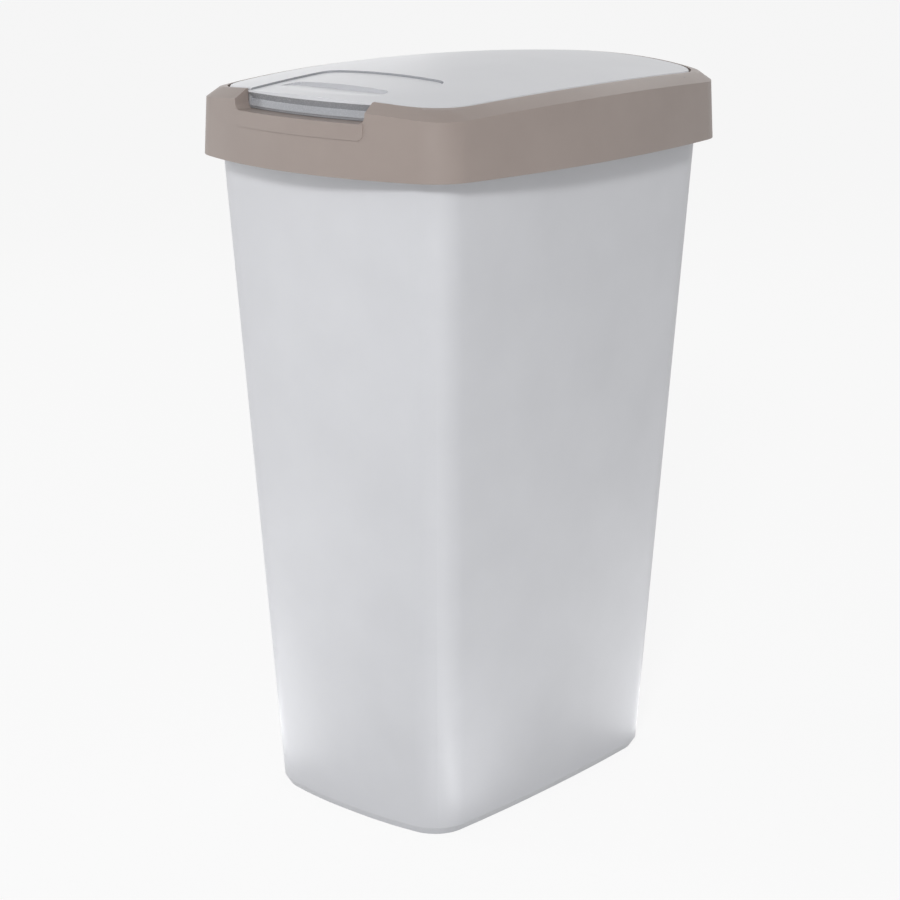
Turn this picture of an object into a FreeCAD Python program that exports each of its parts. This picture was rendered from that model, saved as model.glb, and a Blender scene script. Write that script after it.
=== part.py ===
"""Flip-lid kitchen waste bin: tub, clip-on rim frame, lid and two hinge pins.

Millimetres. X is the width, Y the depth with the front at -Y, Z is up, and
the origin is the middle of the bin's footprint on the floor.
"""
import FreeCAD, Part
import math
import os

import Sketcher

SIZES = {
    # Tub: how far its rim lies inside the frame, how much it narrows to the
    # floor, and the straight middles and arcs of its walls at the floor.
    "tub_height": 548,
    "rim_overhang_side": 20.85,
    "rim_overhang_end": 21.35,
    "tub_taper_side": 24,
    "tub_taper_end": 31,
    "tub_side_flat": 8,
    "tub_end_flat": 8,
    "tub_side_radius": 1560,
    "tub_end_radius": 346,
    "tub_corner_radius": 33,
    "tub_wall": 2.4,
    "tub_floor": 3,
    "foot_height": 3,
    "foot_ring_width": 6,
    "foot_bevel": 4.5,
    "plinth_height": 7,
    "tub_floor_bevel": 5,
    "flange_width": 5.5,
    "flange_thickness": 2.4,
    "flange_lip_height": 9,
    "flange_lip_thickness": 2,
    # Rim frame: outer outline at the skirt's lower edge.
    "frame_width": 288,
    "frame_depth": 397,
    "frame_side_radius": 990,
    "frame_end_radius": 316,
    "frame_corner_radius": 39,
    "frame_wall": 2.5,
    "skirt_level": 533,
    "skirt_draft": 4,
    "block_level": 606,
    "bevel_width": 10,
    "bevel_height": 5.6,
    "core_drop": 7,
    "rear_lip_thickness": 4.5,
    "opening_inset": 15,
    "opening_corner_radius": 48,
    "ledge_level": 573,
    "ledge_thickness": 2.5,
    "ledge_end_setback": 14,
    "collar_level": 537,
    "collar_clearance": 1.2,
    "collar_corner_radius": 46,
    "collar_wall": 2.2,
    "rib_thickness": 2,
    "side_rib_pitch": 62,
    "end_rib_pitch": 72,
    # Dome shared by the lid and the frame's top.
    "crown_level": 600,
    "crown_setback": 13.6,
    "dome_cross_radius": 830,
    "dome_long_radius": 1923,
    # Finger notch in the frame's front and the pad under it.
    "notch_half_width": 63.7,
    "notch_corner_radius": 6,
    "notch_back_inset": 32,
    "notch_flank_wall": 4,
    "pad_half_width": 66.3,
    "pad_level": 561,
    "pad_corner_radius": 5,
    "pad_height": 0.8,
    # Lid.
    "lid_gap": 1.8,
    "lid_thickness": 2.5,
    "lid_wall": 2.2,
    "lid_edge_bevel": 0.8,
    "seat_gap": 0.3,
    "tongue_half_width": 63.5,
    "tongue_length": 91,
    "tongue_corner_radius": 12,
    "tongue_depth": 1.4,
    "groove_width": 1.2,
    "groove_depth": 1.2,
    "scoop_half_width": 50,
    "scoop_near": 12,
    "scoop_far": 43,
    "scoop_corner_radius": 10,
    "scoop_depth": 3.6,
    "scoop_wall_lean": 1.2,
    "lip_half_width": 63.2,
    "lip_overhang": 3,
    "lip_face_proud": 0.6,
    "lip_level": 575.4,
    "lip_crease_level": 582.4,
    "lip_nose_level": 585.6,
    # Hinge.
    "hinge_inset": 76.5,
    "pin_head_gap": 0.3,
    "pin_radius": 2.5,
    "pin_fit": 0.05,
    "pin_head_radius": 3.6,
    "pin_head_thickness": 2,
    "pin_tip_chamfer": 0.6,
    "pin_reach": 6,
    "pin_end_gap": 1,
    "lid_boss_radius": 4.6,
    "lid_boss_length": 10,
    "socket_boss_radius": 5.8,
    "rear_cut_gap": 3.5,
    # How far a cutting shape runs past what it cuts.
    "cut_overrun": 5,
}

# How much the notch widens for each millimetre it runs outward.
NOTCH_FLARE_SHARE = 0.15
SIDE_RIBS = (-2, -1, 0, 1, 2)
END_RIBS = (-1, 0, 1)

Vector = FreeCAD.Vector
UPRIGHT_FRONT = FreeCAD.Rotation(Vector(1, 0, 0), 90)
UPRIGHT_SIDE = FreeCAD.Rotation(Vector(1, 1, 1), 120)
ALONG_X = FreeCAD.Rotation(Vector(0, 1, 0), 90)
HALF_TURN = FreeCAD.Rotation(Vector(0, 0, 1), 180)

# How far round the dome's two arcs run to each side of its crest, in degrees.
DOME_SIDE_ANGLE = 12
DOME_END_ANGLE = 8
DOME_TURN = FreeCAD.Rotation(Vector(0, 0, 1), 180 - DOME_END_ANGLE)

doc = FreeCAD.newDocument("waste_bin")
sheet = doc.addObject("Spreadsheet::Sheet", "Sizes")
for row, (alias, number) in enumerate(SIZES.items(), start=1):
    sheet.set(f"A{row}", alias)
    sheet.set(f"B{row}", str(number))
    sheet.setAlias(f"B{row}", alias)
doc.recompute()


class Size:
    """A value together with the sheet formula that gives it."""

    def __init__(self, value, formula):
        self.value = value
        self.formula = formula

    def __add__(self, other):
        other = as_size(other)
        return Size(self.value + other.value, f"({self.formula} + {other.formula})")

    def __sub__(self, other):
        other = as_size(other)
        return Size(self.value - other.value, f"({self.formula} - {other.formula})")

    def __mul__(self, other):
        other = as_size(other)
        return Size(self.value * other.value, f"({self.formula} * {other.formula})")

    def __truediv__(self, other):
        other = as_size(other)
        return Size(self.value / other.value, f"({self.formula} / {other.formula})")

    def __neg__(self):
        return Size(-self.value, f"(0 - {self.formula})")


def as_size(number):
    """Wrap a plain number so that it can join a formula."""
    return number if isinstance(number, Size) else Size(number, str(number))


def of(alias):
    """Return a size of the sheet by its alias."""
    return Size(float(sheet.get(alias)), f"Sizes.{alias}")


def root(size):
    """Square root of a size."""
    return Size(math.sqrt(size.value), f"sqrt({size.formula})")


def arc_drop(radius, distance):
    """How far an arc has fallen from its crest at a distance from it."""
    return radius - root(radius * radius - distance * distance)


def bind(target, **properties):
    """Bind properties of an object to sheet formulas; __ stands for a dot."""
    for name, size in properties.items():
        target.setExpression(name.replace("__", "."), as_size(size).formula)
    return target


ZERO = as_size(0)


class Outline:
    """A bowed rounded rectangle of tangent arcs, centred on the origin.

    Each wall is one arc, or two arcs with a straight middle of a half length.
    """

    def __init__(self, half_width, half_depth, side_radius, end_radius, corner_radius, flats=None):
        self.half_width = half_width
        self.half_depth = half_depth
        self.side_radius = side_radius
        self.end_radius = end_radius
        self.corner_radius = corner_radius
        self.flats = flats

    def inset(self, amount):
        """Return the parallel outline that lies inside by an amount."""
        return Outline(
            self.half_width - amount,
            self.half_depth - amount,
            self.side_radius - amount,
            self.end_radius - amount,
            self.corner_radius - amount,
            self.flats,
        )

    def grown(self, side, end):
        """Return the outline whose corners are moved outward, arcs unchanged."""
        side_flat, end_flat = self.flats
        return Outline(
            self.half_width + side,
            self.half_depth + end,
            self.side_radius,
            self.end_radius,
            self.corner_radius,
            (side_flat + end, end_flat + side),
        )

    def side_at(self, setback):
        """Half width at a distance from the middle, along the side arc."""
        return self.half_width - arc_drop(self.side_radius, setback)

    def quarter(self):
        """Centres of the side, corner and end arcs of one quarter, and their joints."""
        side_flat, end_flat = (flat.value for flat in self.flats or (ZERO, ZERO))
        side, end = self.side_radius.value, self.end_radius.value
        corner = self.corner_radius.value
        side_x, end_y = self.half_width.value - side, self.half_depth.value - end
        span_x, span_y = end_flat - side_x, end_y - side_flat
        span = math.hypot(span_x, span_y)
        along = ((side - corner) ** 2 - (end - corner) ** 2 + span ** 2) / (2 * span)
        across = math.sqrt((side - corner) ** 2 - along ** 2)
        corner_x = side_x + (span_x * along - span_y * across) / span
        corner_y = side_flat + (span_y * along + span_x * across) / span
        low = math.atan2(corner_y - side_flat, corner_x - side_x)
        high = math.atan2(corner_y - end_y, corner_x - end_flat)
        return (side_x, side_flat), (corner_x, corner_y), (end_flat, end_y), low, high

    def arcs(self):
        """Centre, radius, start and end angle of the arcs, counter-clockwise."""
        (side_x, side_flat), (corner_x, corner_y), (end_flat, end_y), low, high = self.quarter()
        side, end = self.side_radius.value, self.end_radius.value
        corner = self.corner_radius.value
        turn = math.pi
        corners = (
            (corner_x, corner_y, corner, low, high),
            (-corner_x, corner_y, corner, turn - high, turn - low),
            (-corner_x, -corner_y, corner, turn + low, turn + high),
            (corner_x, -corner_y, corner, 2 * turn - high, 2 * turn - low),
        )
        if self.flats:
            back, front = turn / 2, 1.5 * turn
            walls = (
                (
                    (side_x, -side_flat, side, -low, 0),
                    (side_x, side_flat, side, 0, low),
                ),
                (
                    (end_flat, end_y, end, high, back),
                    (-end_flat, end_y, end, back, turn - high),
                ),
                (
                    (-side_x, side_flat, side, turn - low, turn),
                    (-side_x, -side_flat, side, turn, turn + low),
                ),
                (
                    (-end_flat, -end_y, end, turn + high, front),
                    (end_flat, -end_y, end, front, 2 * turn - high),
                ),
            )
        else:
            walls = (
                ((side_x, 0, side, -low, low),),
                ((0, end_y, end, high, turn - high),),
                ((-side_x, 0, side, turn - low, turn + low),),
                ((0, -end_y, end, turn + high, 2 * turn - high),),
            )
        return walls, corners


def dimension(sketch, kind, *places, size):
    """Add a dimension to a sketch and bind it to the size's formula."""
    index = sketch.addConstraint(Sketcher.Constraint(kind, *places, size.value))
    name = f"size_{index}"
    sketch.renameConstraint(index, name)
    sketch.setExpression(f"Constraints.{name}", size.formula)


def draw_wall(sketch, arcs):
    """Draw a wall's arc, or its two arcs with a line between; return the numbers."""
    up = Vector(0, 0, 1)
    curves = []
    for x, y, radius, start, end in arcs:
        circle = Part.Circle(Vector(x, y, 0), up, radius)
        curves.append(Part.ArcOfCircle(circle, start, end))
    if len(curves) == 2:
        curves.insert(1, Part.LineSegment(curves[0].EndPoint, curves[1].StartPoint))
    return [sketch.addGeometry(curve) for curve in curves]


def draw_outline(sketch, outline):
    """Draw an outline of tangent arcs in a sketch and fix it fully."""
    rule = Sketcher.Constraint
    walls, corners = outline.arcs()
    chain, drawn_walls, drawn_corners = [], [], []
    for wall, corner in zip(walls, corners):
        drawn_walls.append(draw_wall(sketch, wall))
        drawn_corners.append(draw_wall(sketch, (corner,))[0])
        chain += drawn_walls[-1] + drawn_corners[-1:]
    for one, following in zip(chain, chain[1:] + chain[:1]):
        sketch.addConstraint(rule("Tangent", one, 2, following, 1))
    right, back, left, front = drawn_walls
    arcs_of_sides = right[::2] + left[::2]
    arcs_of_ends = back[::2] + front[::2]
    for group in (arcs_of_sides, arcs_of_ends, drawn_corners):
        for other in group[1:]:
            sketch.addConstraint(rule("Equal", group[0], other))
    side_offset = outline.side_radius - outline.half_width
    end_offset = outline.end_radius - outline.half_depth
    dimension(sketch, "Radius", right[0], size=outline.side_radius)
    dimension(sketch, "Radius", back[0], size=outline.end_radius)
    dimension(sketch, "Radius", drawn_corners[0], size=outline.corner_radius)
    dimension(sketch, "DistanceX", right[0], 3, -1, 1, size=side_offset)
    dimension(sketch, "DistanceX", -1, 1, left[0], 3, size=side_offset)
    dimension(sketch, "DistanceY", back[0], 3, -1, 1, size=end_offset)
    dimension(sketch, "DistanceY", -1, 1, front[0], 3, size=end_offset)
    if not outline.flats:
        for wall, axis in ((right, -1), (left, -1), (back, -2), (front, -2)):
            sketch.addConstraint(rule("PointOnObject", wall[0], 3, axis))
        return
    side_flat, end_flat = outline.flats
    for wall, sign in ((right, 1), (left, -1)):
        dimension(sketch, "DistanceY", -1, 1, wall[2], 3, size=side_flat * sign)
        dimension(sketch, "DistanceY", wall[0], 3, -1, 1, size=side_flat * sign)
    for wall, sign in ((back, -1), (front, 1)):
        dimension(sketch, "DistanceX", -1, 1, wall[2], 3, size=end_flat * sign)
        dimension(sketch, "DistanceX", wall[0], 3, -1, 1, size=end_flat * sign)


def draw_polygon(sketch, points):
    """Draw a closed polygon whose corners are all dimensioned."""
    rule = Sketcher.Constraint
    count = len(points)
    spots = [Vector(x.value, y.value, 0) for x, y in points]
    for index in range(count):
        sketch.addGeometry(Part.LineSegment(spots[index], spots[(index + 1) % count]))
    for index in range(count):
        sketch.addConstraint(rule("Coincident", index, 2, (index + 1) % count, 1))
    for index, (x, y) in enumerate(points):
        dimension(sketch, "DistanceX", -1, 1, index, 1, size=x)
        dimension(sketch, "DistanceY", -1, 1, index, 1, size=y)


def draw_tab(sketch, half_width, rounded_end, square_end, radius):
    """Draw a rectangle about the Y axis with two rounded corners at one end."""
    rule = Sketcher.Constraint
    sign = 1 if square_end.value > rounded_end.value else -1
    wide, near, far, curve = half_width.value, square_end.value, rounded_end.value, radius.value
    bend = far + sign * curve
    left_arc = (math.pi, 1.5 * math.pi) if sign > 0 else (0.5 * math.pi, math.pi)
    right_arc = (1.5 * math.pi, 2 * math.pi) if sign > 0 else (0, 0.5 * math.pi)
    lines = (
        (Vector(wide, near, 0), Vector(-wide, near, 0)),
        (Vector(-wide, near, 0), Vector(-wide, bend, 0)),
        (Vector(curve - wide, far, 0), Vector(wide - curve, far, 0)),
        (Vector(wide, bend, 0), Vector(wide, near, 0)),
    )
    square, left, rounded, right = [sketch.addGeometry(Part.LineSegment(*line)) for line in lines]
    corners = []
    for middle, angles in ((curve - wide, left_arc), (wide - curve, right_arc)):
        circle = Part.Circle(Vector(middle, bend, 0), Vector(0, 0, 1), curve)
        corners.append(sketch.addGeometry(Part.ArcOfCircle(circle, *angles)))
    low, high = corners
    first, last = (1, 2) if sign > 0 else (2, 1)
    sketch.addConstraint(rule("Coincident", square, 2, left, 1))
    sketch.addConstraint(rule("Coincident", right, 2, square, 1))
    sketch.addConstraint(rule("Tangent", left, 2, low, first))
    sketch.addConstraint(rule("Tangent", low, last, rounded, 1))
    sketch.addConstraint(rule("Tangent", rounded, 2, high, first))
    sketch.addConstraint(rule("Tangent", high, last, right, 1))
    sketch.addConstraint(rule("Horizontal", square))
    sketch.addConstraint(rule("Horizontal", rounded))
    sketch.addConstraint(rule("Vertical", left))
    sketch.addConstraint(rule("Vertical", right))
    sketch.addConstraint(rule("Equal", low, high))
    dimension(sketch, "Radius", low, size=radius)
    dimension(sketch, "DistanceX", -1, 1, square, 1, size=half_width)
    dimension(sketch, "DistanceX", -1, 1, square, 2, size=-half_width)
    dimension(sketch, "DistanceY", -1, 1, square, 1, size=square_end)
    dimension(sketch, "DistanceY", -1, 1, rounded, 1, size=rounded_end)


def free_sketch(name, x=ZERO, y=ZERO, z=ZERO, turn=None):
    """Add an empty sketch at a place, lying flat unless it is turned."""
    sketch = doc.addObject("Sketcher::SketchObject", name)
    sketch.Placement = FreeCAD.Placement(Vector(0, 0, 0), turn or FreeCAD.Rotation())
    bind(sketch, Placement__Base__x=x, Placement__Base__y=y, Placement__Base__z=z)
    return sketch


def outline_at(name, level, *outlines):
    """Add a flat sketch of one outline, or of nested ones, at a level."""
    sketch = free_sketch(name, z=level)
    for outline in outlines:
        draw_outline(sketch, outline)
    return sketch


def extrude(name, sketch, length):
    """Extrude a sketch along its own normal."""
    solid = doc.addObject("Part::Extrusion", name)
    solid.Base = sketch
    solid.DirMode = "Normal"
    solid.Solid = True
    return bind(solid, LengthFwd=length)


def prism(name, outline, low, high):
    """Extrude an outline upward from one level to another."""
    return extrude(name, outline_at(f"{name}_outline", low, outline), high - low)


def loft(name, *sketches):
    """Join sketches by a ruled solid."""
    solid = doc.addObject("Part::Loft", name)
    solid.Sections = list(sketches)
    solid.Solid = True
    solid.Ruled = True
    return solid


def revolve(name, sketch, axis, angle, y=ZERO, z=ZERO):
    """Revolve a sketch about an axis through a place, evenly to both sides."""
    solid = doc.addObject("Part::Revolution", name)
    solid.Source = sketch
    solid.Axis = axis
    solid.Symmetric = True
    solid.Solid = True
    return bind(solid, Base__y=y, Base__z=z, Angle=angle)


def box(name, x, y, z):
    """Add a box that spans three (low, high) ranges."""
    solid = doc.addObject("Part::Box", name)
    bind(solid, Length=x[1] - x[0], Width=y[1] - y[0], Height=z[1] - z[0])
    return bind(solid, Placement__Base__x=x[0], Placement__Base__y=y[0], Placement__Base__z=z[0])


def rod(name, radius, low, high):
    """Add a cylinder on the hinge axis from one X to another."""
    solid = doc.addObject("Part::Cylinder", name)
    solid.Placement = FreeCAD.Placement(Vector(0, 0, 0), ALONG_X)
    bind(solid, Radius=radius, Height=high - low)
    return bind(
        solid,
        Placement__Base__x=low,
        Placement__Base__y=HINGE_Y,
        Placement__Base__z=HINGE_Z,
    )


def dome(name, drop):
    """Add a torus whose crest is the bin's dome lowered by an amount."""
    solid = doc.addObject("Part::Torus", name)
    solid.Angle1, solid.Angle2, solid.Angle3 = -DOME_SIDE_ANGLE, DOME_SIDE_ANGLE, 2 * DOME_END_ANGLE
    solid.Placement = FreeCAD.Placement(Vector(0, 0, 0), ALONG_X * DOME_TURN)
    long_radius, cross_radius = of("dome_long_radius"), of("dome_cross_radius")
    bind(solid, Radius1=long_radius - cross_radius, Radius2=cross_radius - drop)
    return bind(
        solid,
        Placement__Base__y=of("crown_setback"),
        Placement__Base__z=of("crown_level") - long_radius,
    )


def cut(name, base, tool):
    """Take one solid away from another."""
    solid = doc.addObject("Part::Cut", name)
    solid.Base, solid.Tool = base, tool
    return solid


def cut_each(name, base, *tools):
    """Take several solids away from one, in turn."""
    *earlier, last = tools
    for tool in earlier:
        base = cut(f"{name}_less_{tool.Name}", base, tool)
    return cut(name, base, last)


def common(name, base, tool):
    """Keep what two solids share."""
    solid = doc.addObject("Part::Common", name)
    solid.Base, solid.Tool = base, tool
    return solid


def fuse(name, *solids):
    """Join solids into one."""
    solid = doc.addObject("Part::MultiFuse", name)
    solid.Shapes = list(solids)
    solid.Refine = True
    return solid


def edges_where(shape, test):
    """Numbers of the edges of a shape that pass a test."""
    return [index for index, edge in enumerate(shape.Edges, start=1) if test(edge)]


def bevel_edges(name, base, edges, first, second):
    """Bevel edges of a solid by two sizes of the sheet."""
    solid = doc.addObject("Part::Chamfer", name)
    solid.Base = base
    solid.Edges = [(index, first.value, second.value) for index in edges]
    return solid


FRAME = Outline(
    of("frame_width") / 2,
    of("frame_depth") / 2,
    of("frame_side_radius"),
    of("frame_end_radius"),
    of("frame_corner_radius"),
)
TUB_BASE = Outline(
    FRAME.half_width - of("rim_overhang_side") - of("tub_taper_side"),
    FRAME.half_depth - of("rim_overhang_end") - of("tub_taper_end"),
    of("tub_side_radius"),
    of("tub_end_radius"),
    of("tub_corner_radius"),
    (of("tub_side_flat"), of("tub_end_flat")),
)
TUB_TOP = TUB_BASE.grown(of("tub_taper_side"), of("tub_taper_end"))
OPENING = FRAME.inset(of("opening_inset"))
OPENING.corner_radius = of("opening_corner_radius")
LID = OPENING.inset(of("lid_gap"))
COLLAR = TUB_TOP.inset(of("tub_wall") + of("collar_clearance"))
COLLAR.corner_radius = of("collar_corner_radius")

OVERRUN = of("cut_overrun")
CROWN = of("crown_level")
ABOVE = of("block_level")
HINGE_Y = FRAME.half_depth - of("hinge_inset")
# The pin heads lie close under the lid's panel.
HINGE_Z = (
    CROWN
    - arc_drop(of("dome_long_radius"), HINGE_Y - of("crown_setback"))
    - arc_drop(of("dome_cross_radius"), LID.side_at(HINGE_Y) - of("lid_boss_length"))
    - of("lid_thickness")
    - of("pin_head_radius")
    - of("pin_head_gap")
)


# Edges closer than this to a level lie on it.
TOUCH = of("tub_height").value * 1e-6


def tub_outline(level):
    """Outline of the tub's outside at a level above its plinth."""
    plinth = of("plinth_height")
    share = (level - plinth) / (of("tub_height") - plinth)
    return TUB_BASE.grown(of("tub_taper_side") * share, of("tub_taper_end") * share)


def build_tub():
    """Tapered tub on a bevelled plinth, with a turned-down flange on top."""
    height, wall, plinth = of("tub_height"), of("tub_wall"), of("plinth_height")
    foot, floor = of("foot_height"), of("foot_height") + of("tub_floor")
    foot_outline = TUB_BASE.inset(of("foot_bevel"))
    walls = loft(
        "tub_walls",
        outline_at("tub_foot", ZERO, foot_outline),
        outline_at("tub_base", plinth, TUB_BASE),
        outline_at("tub_top", height, TUB_TOP),
    )
    bevel = of("tub_floor_bevel")
    inside = loft(
        "tub_inside",
        outline_at("tub_inside_floor", floor, tub_outline(floor + bevel).inset(wall + bevel)),
        outline_at("tub_inside_low", floor + bevel, tub_outline(floor + bevel).inset(wall)),
        outline_at("tub_inside_high", height, TUB_TOP.inset(wall)),
    )
    edge = TUB_TOP.inset(-of("flange_width"))
    thickness, drop = of("flange_thickness"), of("flange_lip_height")
    shelf = outline_at("tub_flange_ring", height - thickness, edge, TUB_TOP.inset(wall / 2))
    rim = outline_at("tub_lip_ring", height - drop, edge, edge.inset(of("flange_lip_thickness")))
    flange, lip = extrude("tub_flange", shelf, thickness), extrude("tub_lip", rim, drop)
    outside = fuse("tub_outside", walls, flange, lip)
    ring = foot_outline.inset(of("foot_ring_width"))
    under = prism("tub_under", ring, -OVERRUN, foot)
    return cut("tub", outside, fuse("tub_tools", inside, under))


def skirt_block(name, low, inset):
    """Solid inside the frame's drafted skirt, or parallel to it."""
    bottom = outline_at(f"{name}_bottom", low, FRAME.inset(inset))
    top = outline_at(f"{name}_top", ABOVE, FRAME.inset(inset + of("skirt_draft")))
    return loft(name, bottom, top)


def build_frame_block():
    """Frame's outside: drafted skirt, domed top and the bevel between them."""
    skirt = skirt_block("frame_skirt", of("skirt_level"), ZERO)
    domed = common("frame_domed", skirt, dome("frame_dome", ZERO))
    doc.recompute()
    level = of("skirt_level").value + TOUCH
    width = of("frame_width").value
    rim = edges_where(
        domed.Shape,
        lambda edge: edge.BoundBox.ZMin > level
        and edge.BoundBox.YMax < 0
        and edge.BoundBox.XLength > width / 3,
    )
    return bevel_edges("frame_bevelled", domed, rim[:1], of("bevel_width"), of("bevel_height"))


def build_channel():
    """Hollow under the frame's bevel, less the ribs and the hinge bosses."""
    wall, underside = of("frame_wall"), of("ledge_level") - of("ledge_thickness")
    low = of("skirt_level") - OVERRUN
    skirt = skirt_block("channel_skirt", low, wall)
    hollow = common("channel_block", skirt, dome("channel_dome", of("core_drop")))
    low_core = prism("channel_low_core", COLLAR, low - OVERRUN, underside)
    high_core = prism("channel_high_core", OPENING.inset(-wall), underside, ABOVE + OVERRUN)
    width, depth = of("frame_width"), of("frame_depth")
    keep = [low_core, high_core]
    rib_range = (of("tub_height"), ABOVE)
    half_rib = of("rib_thickness") / 2
    for step in SIDE_RIBS:
        middle = of("side_rib_pitch") * step
        keep.append(box("side_rib", (-width, width), (middle - half_rib, middle + half_rib), rib_range))
    for step in END_RIBS:
        middle = of("end_rib_pitch") * step
        keep.append(box("end_rib", (middle - half_rib, middle + half_rib), (-depth, depth), rib_range))
    reach = of("pad_half_width") + of("notch_flank_wall")
    keep.append(box("notch_floor", (-reach, reach), (-depth, -depth / 4), (underside, ABOVE + OVERRUN)))
    keep.append(rod("socket_boss", of("socket_boss_radius"), -width, width))
    return cut_each("frame_channel", hollow, *keep)


def notch_section(name, y, half_width):
    """Upright section of the finger notch, rounded at its floor."""
    sketch = free_sketch(name, y=y, turn=UPRIGHT_FRONT)
    draw_tab(sketch, half_width, of("ledge_level"), ABOVE + OVERRUN, of("notch_corner_radius"))
    return sketch


def build_frame():
    """Rim frame: skirt, bevel, lid rebate with its ledge, collar and notch."""
    wall, width, depth = of("frame_wall"), of("frame_width"), of("frame_depth")
    ledge = of("ledge_level")
    pad_sketch = free_sketch("pad_front", turn=UPRIGHT_FRONT)
    draw_tab(pad_sketch, of("pad_half_width"), of("pad_level"), ledge, of("pad_corner_radius"))
    pad_skirt = skirt_block("pad_skirt", of("skirt_level"), -of("pad_height"))
    pad = common("notch_pad", pad_skirt, extrude("pad_block", pad_sketch, depth))
    outside = fuse("frame_outside", build_frame_block(), pad)
    low = of("skirt_level") - OVERRUN
    rebate = prism("lid_rebate", OPENING, ledge, ABOVE + OVERRUN)
    mouth = prism("frame_mouth", COLLAR.inset(of("collar_wall")), low, ABOVE)
    below = cut("collar_below", prism("collar_block", COLLAR, low, of("collar_level")), mouth)
    flare = as_size(NOTCH_FLARE_SHARE)
    front, back = depth / 2 + OVERRUN, depth / 2 - of("notch_back_inset")
    wide = of("notch_half_width") + (front - back) * flare
    notch = loft(
        "finger_notch",
        notch_section("notch_back", -back, of("notch_half_width")),
        notch_section("notch_front", -front, wide),
    )
    ledge_end = HINGE_Y - of("ledge_end_setback")
    rear = box("rear_ledge_box", (-width, width), (ledge_end, depth), (low, ledge))
    rear_ledge = common("rear_ledge", prism("rear_ledge_core", OPENING, low, ledge), rear)
    swing_start = HINGE_Y + of("socket_boss_radius") + of("rear_cut_gap")
    swing_box = box("rear_swing_box", (-width, width), (swing_start, depth), (low, ABOVE))
    swing_core = prism("rear_swing_core", OPENING.inset(-wall), low, ABOVE)
    swing_domed = common("rear_swing_domed", swing_core, dome("rear_swing_dome", of("rear_lip_thickness")))
    swing = common("rear_swing", swing_domed, swing_box)
    bore_end = LID.side_at(HINGE_Y) + of("lid_gap") + of("pin_reach") + of("pin_end_gap")
    socket = rod("hinge_socket", of("pin_radius") + of("pin_fit"), -bore_end, bore_end)
    return cut_each(
        "rim_frame", outside, build_channel(), rebate, mouth, below, notch, rear_ledge, swing, socket
    )


def above_dome(name, block, drop):
    """Part of a block that stands above the dome lowered by an amount."""
    return cut(name, block, dome(f"{name}_dome", drop))


def plan_tab(name, half_width, near, far, radius):
    """Upright block over a tab that runs back from the lid's front edge."""
    sketch = free_sketch(f"{name}_plan", z=of("ledge_level"))
    front = -LID.half_depth
    draw_tab(sketch, half_width, front + far, front + near, radius)
    return extrude(name, sketch, ABOVE - of("ledge_level"))


def build_lip():
    """Nosing of the lid in the finger notch, following the lid's front arc."""
    sketch = free_sketch("lip_section", turn=UPRIGHT_SIDE)
    front = -LID.half_depth
    inner, face = front + of("lid_wall") / 2, front - of("lip_face_proud")
    nose = front - of("lip_overhang")
    draw_polygon(sketch, (
        (inner, of("lip_level")),
        (face, of("lip_level")),
        (face, of("lip_crease_level")),
        (nose, of("lip_nose_level")),
        (nose, CROWN),
        (inner, CROWN),
    ))
    half = of("lip_half_width") / LID.end_radius
    angle = Size(2 * math.degrees(math.asin(half.value)), f"2 * asin({half.formula})")
    bar = revolve("lip_bar", sketch, Vector(0, 0, 1), angle, y=front + LID.end_radius)
    return common("lid_lip", bar, dome("lip_dome", of("tongue_depth")))


def scoop_level(distance, depth):
    """Level of the scoop's floor at a distance behind the lid's front edge."""
    setback = LID.half_depth - distance + of("crown_setback")
    return CROWN - arc_drop(of("dome_long_radius"), setback) - of("tongue_depth") - depth


def build_scoop():
    """Crescent the fingers press into: a near-level floor under the dome."""
    sketch = free_sketch("scoop_section", x=-of("scoop_half_width"), turn=UPRIGHT_SIDE)
    front = -LID.half_depth
    near, far = front + of("scoop_near"), front + of("scoop_far")
    draw_polygon(sketch, (
        (near, scoop_level(of("scoop_near"), ZERO)),
        (far - of("scoop_wall_lean"), scoop_level(of("scoop_far"), of("scoop_depth"))),
        (far, CROWN),
        (near, CROWN),
    ))
    ramp = extrude("scoop_ramp", sketch, of("scoop_half_width") * 2)
    plan = plan_tab("scoop_block", of("scoop_half_width"), ZERO, of("scoop_far"), of("scoop_corner_radius"))
    return common("lid_scoop", ramp, plan)


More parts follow.
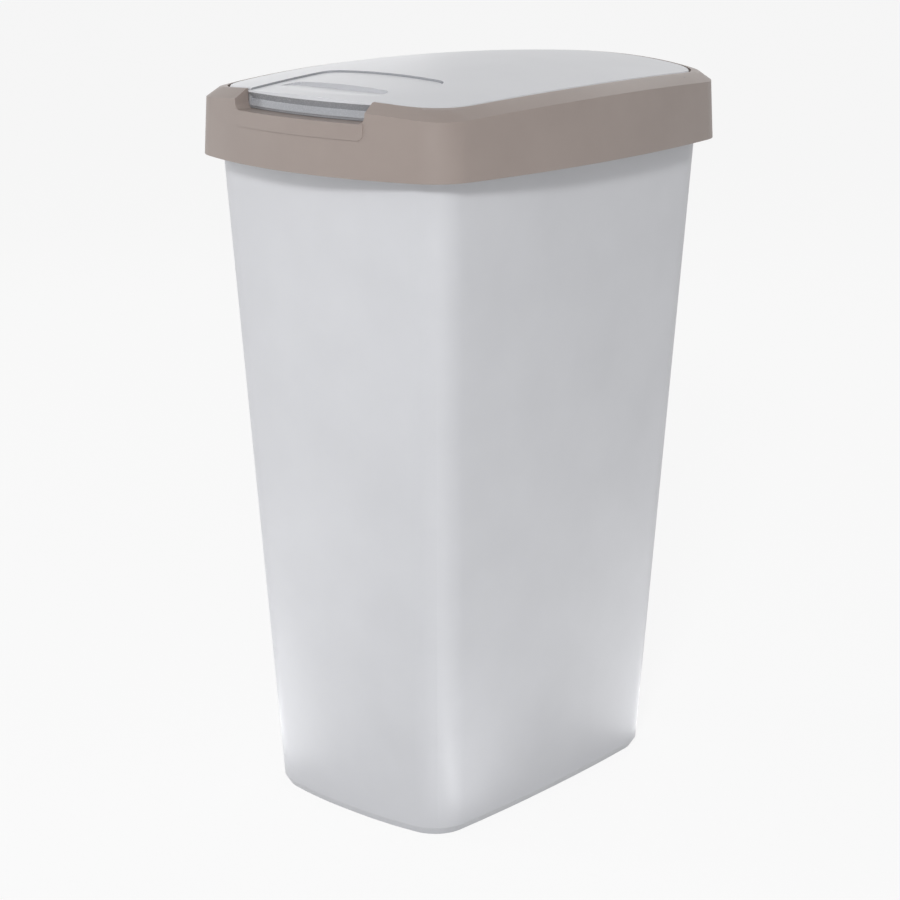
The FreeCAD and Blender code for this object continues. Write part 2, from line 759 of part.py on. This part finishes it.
def build_lid():
    """Lid: domed panel with an edge wall, grooved tongue, scoop, lip and pin bosses."""
    thickness, wall, low = of("lid_thickness"), of("lid_wall"), of("ledge_level") + of("seat_gap")
    block = common("lid_block", prism("lid_column", LID, low, ABOVE), dome("lid_dome", ZERO))
    doc.recompute()
    clear = low.value + TOUCH
    rim = edges_where(
        block.Shape,
        lambda edge: edge.BoundBox.ZMin > clear and edge.BoundBox.ZLength < edge.Length / 4,
    )
    bevel = of("lid_edge_bevel")
    outside = bevel_edges("lid_outside", block, rim, bevel, bevel)
    tongue = plan_tab(
        "tongue_block",
        of("tongue_half_width"),
        -OVERRUN,
        of("tongue_length"),
        of("tongue_corner_radius"),
    )
    groove_core = plan_tab(
        "groove_core",
        of("tongue_half_width") - of("groove_width"),
        -OVERRUN * 2,
        of("tongue_length") - of("groove_width"),
        of("tongue_corner_radius") - of("groove_width"),
    )
    tongue_under = plan_tab(
        "tongue_under_block",
        of("tongue_half_width") + wall,
        -OVERRUN,
        of("tongue_length") + wall,
        of("tongue_corner_radius") + wall,
    )
    scoop_under = plan_tab(
        "scoop_under_block",
        of("scoop_half_width") + wall,
        -OVERRUN,
        of("scoop_far") + wall,
        of("scoop_corner_radius") + wall,
    )
    side = LID.side_at(HINGE_Y)
    boss_start = side - of("lid_boss_length")
    bosses = common(
        "lid_bosses",
        fuse(
            "boss_rods",
            rod("left_boss", of("lid_boss_radius"), -side, -boss_start),
            rod("right_boss", of("lid_boss_radius"), boss_start, side),
        ),
        block,
    )
    hollow_core = prism("lid_hollow_core", LID.inset(wall), low - OVERRUN, ABOVE)
    hollow = common("lid_hollow", hollow_core, dome("hollow_dome", thickness))
    kept = fuse(
        "lid_kept",
        above_dome("tongue_under", tongue_under, thickness + of("tongue_depth")),
        above_dome("scoop_under", scoop_under, thickness + of("tongue_depth") + of("scoop_depth")),
        bosses,
    )
    shell = cut("lid_shell", outside, cut("lid_inside", hollow, kept))
    groove = above_dome(
        "groove_cut",
        cut("groove_ring", tongue, groove_core),
        of("tongue_depth") + of("groove_depth"),
    )
    recess = above_dome("tongue_cut", tongue, of("tongue_depth"))
    recessed = cut_each("lid_recessed", shell, recess, groove)
    lipped = fuse("lid_lipped", recessed, build_lip())
    bore = rod("lid_bore", of("pin_radius") + of("pin_fit"), -of("frame_width"), of("frame_width"))
    return cut("lid", lipped, fuse("lid_cuts", build_scoop(), bore))


def build_pin(name, turn):
    """Headed hinge pin, from inside the lid's boss into the frame's socket."""
    side = LID.side_at(HINGE_Y)
    start = side - of("lid_boss_length")
    end = side + of("lid_gap") + of("pin_reach")
    radius, chamfer = of("pin_radius"), of("pin_tip_chamfer")
    sketch = free_sketch(f"{name}_section", y=HINGE_Y, z=HINGE_Z, turn=turn)
    draw_polygon(sketch, (
        (start - of("pin_head_thickness"), ZERO),
        (start - of("pin_head_thickness"), of("pin_head_radius")),
        (start, of("pin_head_radius")),
        (start, radius),
        (end - chamfer, radius),
        (end, radius - chamfer),
        (end, ZERO),
    ))
    full_turn = Size(360, "360")
    return revolve(name, sketch, Vector(1, 0, 0), full_turn, y=HINGE_Y, z=HINGE_Z)


def main():
    """Build every piece, test it and write its file."""
    pieces = {
        "tub": build_tub(),
        "rim_frame": build_frame(),
        "lid": build_lid(),
        "left_hinge_pin": build_pin("left_hinge_pin", HALF_TURN * UPRIGHT_FRONT),
        "right_hinge_pin": build_pin("right_hinge_pin", UPRIGHT_FRONT),
    }
    doc.recompute()
    for item in doc.Objects:
        if "Invalid" in item.State or "Error" in item.State:
            raise RuntimeError(f"{item.Name} did not build: {item.State}")
    os.makedirs("parts", exist_ok=True)
    for node, piece in pieces.items():
        piece.Label = node
        shape = piece.Shape
        if shape.isNull() or not shape.isValid() or len(shape.Solids) != 1:
            raise RuntimeError(f"{node} is not one valid solid: {len(shape.Solids)} solids")
        shape.exportStep(f"parts/{node}.step")


main()
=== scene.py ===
"""Looks of the kitchen waste bin: a tapered tub, a taupe rim frame and a flip-up lid."""

import logging
import math
from collections.abc import Callable
from dataclasses import dataclass
from enum import Enum
from functools import partial

import bpy
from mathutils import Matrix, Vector


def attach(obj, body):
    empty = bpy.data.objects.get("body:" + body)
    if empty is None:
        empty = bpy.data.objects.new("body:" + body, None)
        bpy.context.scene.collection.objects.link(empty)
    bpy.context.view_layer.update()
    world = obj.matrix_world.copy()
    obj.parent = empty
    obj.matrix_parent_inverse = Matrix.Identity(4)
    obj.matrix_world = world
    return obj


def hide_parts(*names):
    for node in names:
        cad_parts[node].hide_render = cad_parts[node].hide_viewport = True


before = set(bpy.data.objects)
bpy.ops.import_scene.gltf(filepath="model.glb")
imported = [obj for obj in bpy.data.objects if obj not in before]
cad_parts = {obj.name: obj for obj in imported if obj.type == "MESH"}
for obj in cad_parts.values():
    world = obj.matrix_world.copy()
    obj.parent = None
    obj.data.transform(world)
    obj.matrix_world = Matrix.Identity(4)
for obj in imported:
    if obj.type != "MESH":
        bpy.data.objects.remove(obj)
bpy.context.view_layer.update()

LOG = logging.getLogger("waste_bin")
MM = 0.001
PHOTO_PIXELS = 900
WHITE = (1, 1, 1, 1)

# Sockets of a Mix node by number, because each of its names stands for several sockets.
MIX_DARK_INPUT = 6
MIX_LIGHT_INPUT = 7
MIX_COLOUR_OUTPUT = 2


class Body(Enum):
    """Moving bodies that pieces ride on."""

    TUB = "tub"
    FRAME = "frame"
    LID = "lid"


class Slot(Enum):
    """Material slots of the record, one held by each new piece."""

    TUB = "tub_plastic"
    FRAME = "frame_plastic"
    LID = "lid_plastic"


class LidFinish(Enum):
    """Finishes of the lid, by their place in its list of materials; the grip and scoop ones are painted
    shade.
    """

    SATIN = 0
    GRIP = 1
    SCOOP = 2


def linear(hex_colour: str) -> tuple[float, float, float, float]:
    """Turn an sRGB hex colour into linear light.

    Args:
        hex_colour: Six hex digits.

    Returns:
        Red, green, blue and an alpha of 1.
    """
    shares = [int(hex_colour[i:i + 2], 16) / 255 for i in (0, 2, 4)]
    red, green, blue = [s / 12.92 if s <= 0.04045 else ((s + 0.055) / 1.055) ** 2.4 for s in shares]
    return red, green, blue, 1.0


def toward(azimuth: float, elevation: float) -> Vector:
    """Point from the bin in a direction.

    Args:
        azimuth: Degrees from the bin's front toward its right.
        elevation: Degrees above the floor.

    Returns:
        The unit vector of the direction.
    """
    turn, rise = math.radians(azimuth), math.radians(elevation)
    return Vector((math.sin(turn) * math.cos(rise), -math.cos(turn) * math.cos(rise), math.sin(rise)))


def empty_tree(owner: bpy.types.Material | bpy.types.World) -> bpy.types.NodeTree:
    """Give a material or a world an empty node tree.

    Args:
        owner: The new material or world.

    Returns:
        Its node tree.
    """
    owner.use_nodes = True
    owner.node_tree.nodes.clear()
    return owner.node_tree


def add_node(
    tree: bpy.types.NodeTree,
    kind: str,
    settings: dict[str, object] | None = None,
    ordered: tuple[object, ...] = (),
    **named: object,
) -> bpy.types.Node:
    """Add a node with its settings, values and links.

    Args:
        tree: Node tree that gets the node.
        kind: Blender's name of the node type.
        settings: Properties to set on the node.
        ordered: Values, or sockets to link from, for the first inputs in their order.
        named: The same for inputs by their names; _ stands for a space.

    Returns:
        The new node.
    """
    node = tree.nodes.new(kind)
    for name, value in (settings or {}).items():
        setattr(node, name, value)
    inputs = dict(enumerate(ordered)) | {name.replace("_", " "): value for name, value in named.items()}
    for key, value in inputs.items():
        if isinstance(value, bpy.types.NodeSocket):
            tree.links.new(value, node.inputs[key])
        else:
            node.inputs[key].default_value = value
    return node


@dataclass(frozen=True)
class MouldedPlastic:
    """Satin plastic from a spark-eroded mould: soft gloss over a fine grain."""

    name: str
    light_hex: str
    dark_hex: str
    roughness: float
    roughness_spread: float
    grain_mm: float
    grain_depth_mm: float
    mottle_mm: float
    ior: float = 1.49
    grain_strength: float = 0.35
    grain_detail: float = 2.0
    mottle_detail: float = 3.0
    mottle_range: tuple[float, float] = (0.3, 0.7)

    def material(self) -> bpy.types.Material:
        """Build the material once.

        Returns:
            The new material, or the one that is already built.
        """
        found = bpy.data.materials.get(self.name)
        if found:
            return found
        material = bpy.data.materials.new(self.name)
        tree = empty_tree(material)
        place = add_node(tree, "ShaderNodeTexCoord").outputs["Object"]
        # Flow of the melt: a slow change of tone along the piece.
        flow = add_node(
            tree,
            "ShaderNodeTexNoise",
            Vector=place,
            Scale=1 / (self.mottle_mm * MM),
            Detail=self.mottle_detail,
        )
        low, high = self.mottle_range
        tone = add_node(tree, "ShaderNodeMapRange", Value=flow.outputs["Fac"], From_Min=low, From_Max=high)
        colour = add_node(tree, "ShaderNodeMix", {"data_type": "RGBA"}, Factor=tone.outputs["Result"])
        colour.inputs[MIX_DARK_INPUT].default_value = linear(self.dark_hex)
        colour.inputs[MIX_LIGHT_INPUT].default_value = linear(self.light_hex)
        # Grain of the mould, drawn a little coarser than it is so that it shows.
        grain = add_node(
            tree,
            "ShaderNodeTexNoise",
            Vector=place,
            Scale=1 / (self.grain_mm * MM),
            Detail=self.grain_detail,
        )
        bump = add_node(
            tree,
            "ShaderNodeBump",
            Height=grain.outputs["Fac"],
            Strength=self.grain_strength,
            Distance=self.grain_depth_mm * MM,
        )
        gloss = add_node(
            tree,
            "ShaderNodeMapRange",
            Value=grain.outputs["Fac"],
            To_Min=self.roughness - self.roughness_spread,
            To_Max=self.roughness + self.roughness_spread,
        )
        shader = add_node(
            tree,
            "ShaderNodeBsdfPrincipled",
            Base_Color=colour.outputs[MIX_COLOUR_OUTPUT],
            Roughness=gloss.outputs["Result"],
            IOR=self.ior,
            Normal=bump.outputs["Normal"],
        )
        add_node(tree, "ShaderNodeOutputMaterial", Surface=shader.outputs["BSDF"])
        return material


# Moulded polypropylene, satin: lamps blur into soft upright bands on the tub's walls.
SILVER_TUB = MouldedPlastic(
    name="silver_moulded_polypropylene",
    light_hex="D6D7DB",
    dark_hex="D2D3D7",
    roughness=0.41,
    roughness_spread=0.05,
    grain_mm=1.1,
    grain_depth_mm=0.05,
    mottle_mm=60,
)
# The same plastic from a finer mould: the dome takes a clearer sheen at a low angle.
SILVER_LID = MouldedPlastic(
    name="silver_moulded_lid_polypropylene",
    light_hex="DADBDF",
    dark_hex="D7D8DC",
    roughness=0.36,
    roughness_spread=0.05,
    grain_mm=1.1,
    grain_depth_mm=0.04,
    mottle_mm=60,
)
# Polypropylene with a smoother, polished sheen; its darker grey is painted shade for the lip under the
# lid's nose and the groove round the tongue.
LIP_GROOVE_PAINTED_SHADE = MouldedPlastic(
    name="grey_painted_shade_lip_groove_polypropylene",
    light_hex="AFB1B6",
    dark_hex="ABADB2",
    roughness=0.27,
    roughness_spread=0.03,
    grain_mm=1.1,
    grain_depth_mm=0.02,
    mottle_mm=60,
)
# Polypropylene with a slightly smoother sheen; its tone, between lid and lip, is painted shade on the
# steep wall of the finger scoop.
SCOOP_WALL_PAINTED_SHADE = MouldedPlastic(
    name="silver_painted_shade_scoop_polypropylene",
    light_hex="C6C7CB",
    dark_hex="C3C4C8",
    roughness=0.30,
    roughness_spread=0.04,
    grain_mm=1.1,
    grain_depth_mm=0.02,
    mottle_mm=60,
)
# Moulded polypropylene with a duller grain: the taupe rim hardly mirrors the lamps.
TAUPE_RIM = MouldedPlastic(
    name="taupe_moulded_polypropylene",
    light_hex="9F938D",
    dark_hex="9A8E88",
    roughness=0.44,
    roughness_spread=0.05,
    grain_mm=0.9,
    grain_depth_mm=0.04,
    mottle_mm=50,
)
# Moulded acetal: the pins show a plain mid grey with a waxy sheen.
GREY_PIN = MouldedPlastic(
    name="grey_moulded_acetal",
    light_hex="94949A",
    dark_hex="8E8E94",
    roughness=0.35,
    roughness_spread=0.04,
    grain_mm=0.8,
    grain_depth_mm=0.02,
    mottle_mm=8,
    ior=1.48,
)


def deselect_all() -> None:
    """Leave nothing selected and nothing in edit mode."""
    if bpy.context.object and bpy.context.object.mode != "OBJECT":
        bpy.ops.object.mode_set(mode="OBJECT")
    bpy.ops.object.select_all(action="DESELECT")


def make_active(piece: bpy.types.Object) -> None:
    """Select one object alone and make it the active one.

    Args:
        piece: The object.
    """
    deselect_all()
    piece.select_set(True)
    bpy.context.view_layer.objects.active = piece


def select_vertices(piece: bpy.types.Object, chosen: Callable[[Vector], bool]) -> None:
    """Select the vertices that a test chooses, alone, and enter edit mode.

    Args:
        piece: The mesh object.
        chosen: Test of a vertex's place in millimetres.
    """
    make_active(piece)
    for polygon in piece.data.polygons:
        polygon.select = False
    for edge in piece.data.edges:
        edge.select = False
    for vertex in piece.data.vertices:
        vertex.select = chosen(vertex.co / MM)
    bpy.ops.object.mode_set(mode="EDIT")


@dataclass
class DressedNode:
    """A CAD node's shape with merged faces, rounded edges and smooth shading."""

    node: str
    name: str
    body: Body
    slot: Slot
    finish: MouldedPlastic
    edge_radius_mm: float
    crease_degrees: float = 28.0
    edge_segments: int = 3
    weld_mm: float = 0.01
    flat_degrees: float = 8.0
    quad_degrees: float = 40.0
    wide_face_weight: int = 100

    def build(self) -> bpy.types.Object:
        """Copy the node's mesh, weld its triangles and round its edges.

        Returns:
            The new mesh object.
        """
        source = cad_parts[self.node]
        piece = bpy.data.objects.new(self.name, source.data.copy())
        bpy.context.scene.collection.objects.link(piece)
        self.weld(piece)
        self.shape(piece)
        self.round_edges(piece)
        self.close(piece)
        self.smooth(piece)
        return piece

    def weld(self, piece: bpy.types.Object) -> None:
        """Merge the triangles of the copy into a whole skin of larger faces.

        Args:
            piece: The copy of the node.
        """
        make_active(piece)
        bpy.ops.object.mode_set(mode="EDIT")
        bpy.ops.mesh.select_all(action="SELECT")
        bpy.ops.mesh.customdata_custom_splitnormals_clear()
        bpy.ops.mesh.remove_doubles(threshold=self.weld_mm * MM)
        bpy.ops.mesh.tris_convert_to_quads(
            face_threshold=math.radians(self.flat_degrees),
            shape_threshold=math.radians(self.quad_degrees),
        )
        bpy.ops.object.mode_set(mode="OBJECT")

    def round_edges(self, piece: bpy.types.Object) -> None:
        """Round the edges that are sharper than the crease angle.

        Args:
            piece: The merged copy.
        """
        bevel = piece.modifiers.new("edge_rounding", "BEVEL")
        bevel.width = self.edge_radius_mm * MM
        bevel.segments = self.edge_segments
        bevel.limit_method = "ANGLE"
        bevel.angle_limit = math.radians(self.crease_degrees)
        bpy.ops.object.modifier_apply(modifier=bevel.name)

    def smooth(self, piece: bpy.types.Object) -> None:
        """Shade smoothly, with wide faces setting the normals of a wall beside its rounded edge.

        Args:
            piece: The rounded copy.
        """
        bpy.ops.object.shade_smooth_by_angle(angle=math.radians(self.crease_degrees))
        weighting = piece.modifiers.new("wide_faces_first", "WEIGHTED_NORMAL")
        weighting.keep_sharp = True
        weighting.weight = self.wide_face_weight
        bpy.ops.object.modifier_apply(modifier=weighting.name)

    def shape(self, piece: bpy.types.Object) -> None:
        """Leave the merged copy as it is; a sub-assembly may shape it further."""

    def close(self, piece: bpy.types.Object) -> None:
        """Leave the rounded copy as it is; a sub-assembly may close it further."""

    def dress(self, piece: bpy.types.Object) -> None:
        """Give the piece its finish and body in place of the node.

        Args:
            piece: The mesh that build made.
        """
        piece.data.materials.clear()
        piece.data.materials.append(self.finish.material())
        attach(piece, self.body.value)
        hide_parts(self.node)


@dataclass
class RimFrame(DressedNode):
    """The rim frame, whose hinge sockets stay closed behind its bevel."""

    socket_mm: tuple[float, float, float] = (127.4, 122.0, 585.04)
    socket_half_mm: tuple[float, float] = (2.2, 3.5)
    bevel_fall: tuple[float, float] = (-0.708, -0.125)
    skin_mm: float = 0.3

    def on_skin(self, side: int, place: Vector) -> bool:
        """Tell whether a vertex lies on the bevel over a socket's end.

        Args:
            side: 1 for the bin's right side, -1 for its left.
            place: The vertex in millimetres.

        Returns:
            True where it does.
        """
        along, back = side * place.x - self.socket_mm[0], place.y - self.socket_mm[1]
        level = self.socket_mm[2] + along * self.bevel_fall[0] + back * self.bevel_fall[1]
        near = abs(along) < self.socket_half_mm[0] and abs(back) < self.socket_half_mm[1]
        return near and abs(place.z - level) < self.skin_mm

    def close(self, piece: bpy.types.Object) -> None:
        """Draw the bevel together over the end of each socket.

        Args:
            piece: The rounded copy of the frame.
        """
        for side in (-1, 1):
            select_vertices(piece, partial(self.on_skin, side))
            bpy.ops.mesh.merge(type="CENTER")
            bpy.ops.object.mode_set(mode="OBJECT")


@dataclass
class GripLid(DressedNode):
    """The lid, whose lip in the notch is hollowed to a grip for the fingertips."""

    crease_level_mm: float = 582.4
    crease_move_mm: tuple[float, float, float] = (0, 2.1, -1.9)
    foot_level_mm: float = 575.4
    foot_move_mm: tuple[float, float, float] = (0, -0.8, 0)
    row_height_mm: float = 0.1
    lip_levels_mm: tuple[float, float] = (573.0, 585.9)
    lip_front_mm: float = -165.0
    lip_facing: float = 0.5
    top_level_mm: float = 584.0
    tongue_half_mm: float = 63.5
    tongue_end_mm: float = -90.7
    tongue_corner_mm: float = 12.0
    groove_mm: float = 1.2
    groove_margin_mm: float = 0.06
    groove_facing: float = -0.2
    scoop_half_mm: float = 50.5
    scoop_reach_mm: tuple[float, float] = (-170.2, -138.2)
    scoop_steepness: float = 0.85

    def move_row(
        self,
        piece: bpy.types.Object,
        level_mm: float,
        move_mm: tuple[float, float, float],
    ) -> None:
        """Move the vertices that lie at one level of the lip.

        Args:
            piece: The merged copy of the lid.
            level_mm: Level of the row.
            move_mm: How far the row moves along X, Y and Z.
        """
        select_vertices(piece, lambda place: abs(place.z - level_mm) < self.row_height_mm and place.y < 0)
        bpy.ops.transform.translate(value=[step * MM for step in move_mm])
        bpy.ops.object.mode_set(mode="OBJECT")

    def shape(self, piece: bpy.types.Object) -> None:
        """Draw the lip's crease in and its foot out."""
        self.move_row(piece, self.crease_level_mm, self.crease_move_mm)
        self.move_row(piece, self.foot_level_mm, self.foot_move_mm)

    def on_lip(self, centre: Vector, normal: Vector) -> bool:
        """Tell whether a face belongs to the lip's front.

        Args:
            centre: The face's centre in millimetres.
            normal: Its normal.

        Returns:
            True where it does.
        """
        low, high = self.lip_levels_mm
        level = low < centre.z < high
        near = centre.y < self.lip_front_mm and abs(centre.x) < self.tongue_half_mm
        return level and near and normal.y < self.lip_facing

    def in_groove(self, centre: Vector, normal: Vector) -> bool:
        """Tell whether a face belongs to the groove round the tongue.

        Args:
            centre: The face's centre in millimetres.
            normal: Its normal.

        Returns:
            True where it does.
        """
        across = abs(centre.x) - self.tongue_half_mm + self.tongue_corner_mm
        along = centre.y - self.tongue_end_mm + self.tongue_corner_mm
        reach = math.hypot(across, along) if min(across, along) > 0 else max(across, along)
        inward = self.tongue_corner_mm - reach
        shown = centre.z > self.top_level_mm and normal.z > self.groove_facing
        return shown and -self.groove_margin_mm < inward < self.groove_mm + self.groove_margin_mm

    def on_scoop_wall(self, centre: Vector, normal: Vector) -> bool:
        """Tell whether a face belongs to the steep wall of the finger scoop.

        Args:
            centre: The face's centre in millimetres.
            normal: Its normal.

        Returns:
            True where it does.
        """
        near, far = self.scoop_reach_mm
        inside = abs(centre.x) < self.scoop_half_mm and near < centre.y < far
        return inside and centre.z > self.top_level_mm and 0 <= normal.z < self.scoop_steepness

    def finish_of(self, centre: Vector, normal: Vector) -> LidFinish:
        """Choose which of the lid's finishes a face takes; lip, groove and scoop wall take painted shade.

        Args:
            centre: The face's centre in millimetres.
            normal: Its normal.

        Returns:
            The finish.
        """
        if self.on_lip(centre, normal) or self.in_groove(centre, normal):
            return LidFinish.GRIP
        return LidFinish.SCOOP if self.on_scoop_wall(centre, normal) else LidFinish.SATIN

    def dress(self, piece: bpy.types.Object) -> None:
        """Give the lid its finish, and the lip, groove and scoop wall their darker painted shade.

        Args:
            piece: The mesh that build made.
        """
        super().dress(piece)
        for finish in (LIP_GROOVE_PAINTED_SHADE, SCOOP_WALL_PAINTED_SHADE):
            piece.data.materials.append(finish.material())
        # Lip, groove and scoop wall take colour darkened as painted shade.
        for polygon in piece.data.polygons:
            polygon.material_index = self.finish_of(polygon.center / MM, polygon.normal).value


@dataclass
class HingePins:
    """The two hinge pins, which keep their CAD meshes."""

    nodes: tuple[str, ...] = ("left_hinge_pin", "right_hinge_pin")

    def dress(self) -> None:
        """Give both pins their finish."""
        for node in self.nodes:
            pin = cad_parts[node]
            pin.data.materials.clear()
            pin.data.materials.append(GREY_PIN.material())


@dataclass
class Studio:
    """Pale floor, soft light and the camera at the photograph's angle."""

    focal_pixels: float = 2286.46
    azimuth: float = 41.10
    elevation: float = 15.60
    distance_mm: float = 1905.84
    aim_height_mm: float = 277.66
    aim_right_mm: float = -11.91
    sensor_mm: float = 36.0
    floor_metres: float = 60.0
    floor_reflectance: float = 0.85
    floor_white_share: float = 0.88
    sky_strength: float = 0.38
    strip_height_mm: float = 4.0

    def camera(self) -> None:
        """Place the camera."""
        right, back = toward(self.azimuth + 90, 0), toward(self.azimuth, self.elevation)
        aim = Vector((0, 0, self.aim_height_mm)) + right * self.aim_right_mm
        data = bpy.data.cameras.new("camera")
        data.sensor_width = self.sensor_mm
        data.lens = self.focal_pixels * self.sensor_mm / PHOTO_PIXELS
        camera = bpy.data.objects.new("camera", data)
        bpy.context.scene.collection.objects.link(camera)
        camera.location = (aim + back * self.distance_mm) * MM
        camera.rotation_euler = (-back).to_track_quat("-Z", "Y").to_euler()
        bpy.context.scene.camera = camera

    def backdrop_share(self, tree: bpy.types.NodeTree) -> bpy.types.NodeSocket:
        """Add the nodes that tell which rays see the white backdrop.

        Args:
            tree: Node tree of the world or the floor.

        Returns:
            A socket that is 1 for camera, glossy and transmission rays.
        """
        path = add_node(tree, "ShaderNodeLightPath")
        seen = path.outputs["Is Camera Ray"]
        for name in ("Is Glossy Ray", "Is Transmission Ray"):
            either = add_node(tree, "ShaderNodeMath", {"operation": "MAXIMUM"}, (seen, path.outputs[name]))
            seen = either.outputs[0]
        return seen

    def world(self) -> None:
        """White to the camera, a soft grey light for the object."""
        world = bpy.data.worlds.new("studio")
        tree = empty_tree(world)
        light = add_node(tree, "ShaderNodeBackground", Color=WHITE, Strength=self.sky_strength)
        white = add_node(tree, "ShaderNodeBackground", Color=WHITE, Strength=1.0)
        shaders = (self.backdrop_share(tree), light.outputs[0], white.outputs[0])
        mix = add_node(tree, "ShaderNodeMixShader", ordered=shaders)
        add_node(tree, "ShaderNodeOutputWorld", Surface=mix.outputs[0])
        bpy.context.scene.world = world

    def floor(self) -> None:
        """A wide pale floor that keeps a faint shadow."""
        deselect_all()
        bpy.ops.mesh.primitive_plane_add(size=self.floor_metres)
        floor = bpy.context.object
        floor.name = "floor"
        material = bpy.data.materials.new("pale_floor")
        tree = empty_tree(material)
        matte = add_node(tree, "ShaderNodeBsdfDiffuse", Color=(*[self.floor_reflectance] * 3, 1))
        white = add_node(tree, "ShaderNodeEmission", Color=WHITE, Strength=1.0)
        factors = (self.backdrop_share(tree), self.floor_white_share)
        share = add_node(tree, "ShaderNodeMath", {"operation": "MULTIPLY"}, factors)
        shaders = (share.outputs[0], matte.outputs[0], white.outputs[0])
        mix = add_node(tree, "ShaderNodeMixShader", ordered=shaders)
        add_node(tree, "ShaderNodeOutputMaterial", Surface=mix.outputs[0])
        floor.data.materials.append(material)

    def area_light(self, name: str, size: tuple[float, float], power: float) -> bpy.types.Object:
        """Add a rectangular lamp that doesn't show itself to the camera.

        Args:
            name: Name of the lamp.
            size: Its width and height in metres.
            power: Its power in watts.

        Returns:
            The lamp, still at the origin.
        """
        data = bpy.data.lights.new(name, "AREA")
        data.shape = "RECTANGLE"
        data.size, data.size_y = size
        data.energy = power
        light = bpy.data.objects.new(name, data)
        bpy.context.scene.collection.objects.link(light)
        light.visible_camera = False
        return light

    def lamp(
        self,
        name: str,
        direction: tuple[float, float],
        distance: float,
        size: tuple[float, float],
        power: float,
    ) -> None:
        """Hang a soft lamp that faces the bin.

        Args:
            name: Name of the lamp.
            direction: Azimuth from the bin's front toward its right, and elevation, in degrees.
            distance: How far it hangs from the bin's middle, in metres.
            size: Its width and height in metres.
            power: Its power in watts.
        """
        lamp = self.area_light(name, size, power)
        away = toward(*direction)
        lamp.location = Vector((0, 0, self.aim_height_mm * MM)) + away * distance
        lamp.rotation_euler = (-away).to_track_quat("-Z", "Y").to_euler()

    def floor_strip(
        self,
        name: str,
        azimuth: float,
        reach: tuple[float, float],
        width: float,
        power: float,
    ) -> None:
        """Lay a strip lamp on the floor, whose reflection runs up the bin's wall.

        Args:
            name: Name of the lamp.
            azimuth: Its direction from the bin's front toward the right, in degrees.
            reach: How far from the bin's middle it starts and ends, in metres.
            width: Its width in metres.
            power: Its power in watts.
        """
        near, far = reach
        strip = self.area_light(name, (width, far - near), power)
        away = toward(azimuth, 0)
        strip.location = away * (near + far) / 2 + Vector((0, 0, self.strip_height_mm * MM))
        strip.rotation_euler = (0, math.pi, math.atan2(-away.x, away.y))

    def build(self) -> None:
        """Set up the whole studio."""
        bpy.context.scene.view_settings.view_transform = "Standard"
        self.camera()
        self.world()
        self.floor()
        self.lamp("key", direction=(35, 31), distance=2.8, size=(0.35, 0.35), power=30)
        self.lamp("left", direction=(-60, 20), distance=2.8, size=(0.7, 0.7), power=11)
        self.lamp("back_left", direction=(-128, 16), distance=2.5, size=(0.8, 0.6), power=1.1)
        self.lamp("back", direction=(195, 38), distance=2.8, size=(0.9, 0.9), power=5)
        # The tub's walls lean out, so what they mirror toward the camera lies on the floor.
        self.floor_strip("left_strip", azimuth=-45, reach=(0.19, 1.7), width=0.2, power=1.4)
        self.floor_strip("left_far_strip", azimuth=-45, reach=(1.6, 3.2), width=0.5, power=5.5)
        self.floor_strip("corner_strip", azimuth=54, reach=(0.18, 1.2), width=0.04, power=0.42)
        self.floor_strip("corner_far_strip", azimuth=54, reach=(1.1, 2.8), width=0.16, power=3.2)
        self.floor_strip("right_strip", azimuth=146, reach=(0.17, 0.8), width=0.2, power=0.55)


def main() -> None:
    """Build and dress every piece, then the studio."""
    logging.basicConfig(level=logging.INFO, format="%(name)s: %(message)s")
    pieces = (
        DressedNode("tub", "bin_tub", Body.TUB, Slot.TUB, SILVER_TUB, edge_radius_mm=0.8),
        RimFrame("rim_frame", "bin_rim_frame", Body.FRAME, Slot.FRAME, TAUPE_RIM, edge_radius_mm=0.7),
        GripLid("lid", "bin_lid", Body.LID, Slot.LID, SILVER_LID, edge_radius_mm=0.3, edge_segments=2),
    )
    for piece in pieces:
        mesh = piece.build()
        piece.dress(mesh)
        LOG.info("%s: %d faces", piece.name, len(mesh.data.polygons))
    HingePins().dress()
    LOG.info("hinge pins dressed")
    Studio().build()


if __name__ == "__main__":
    main()
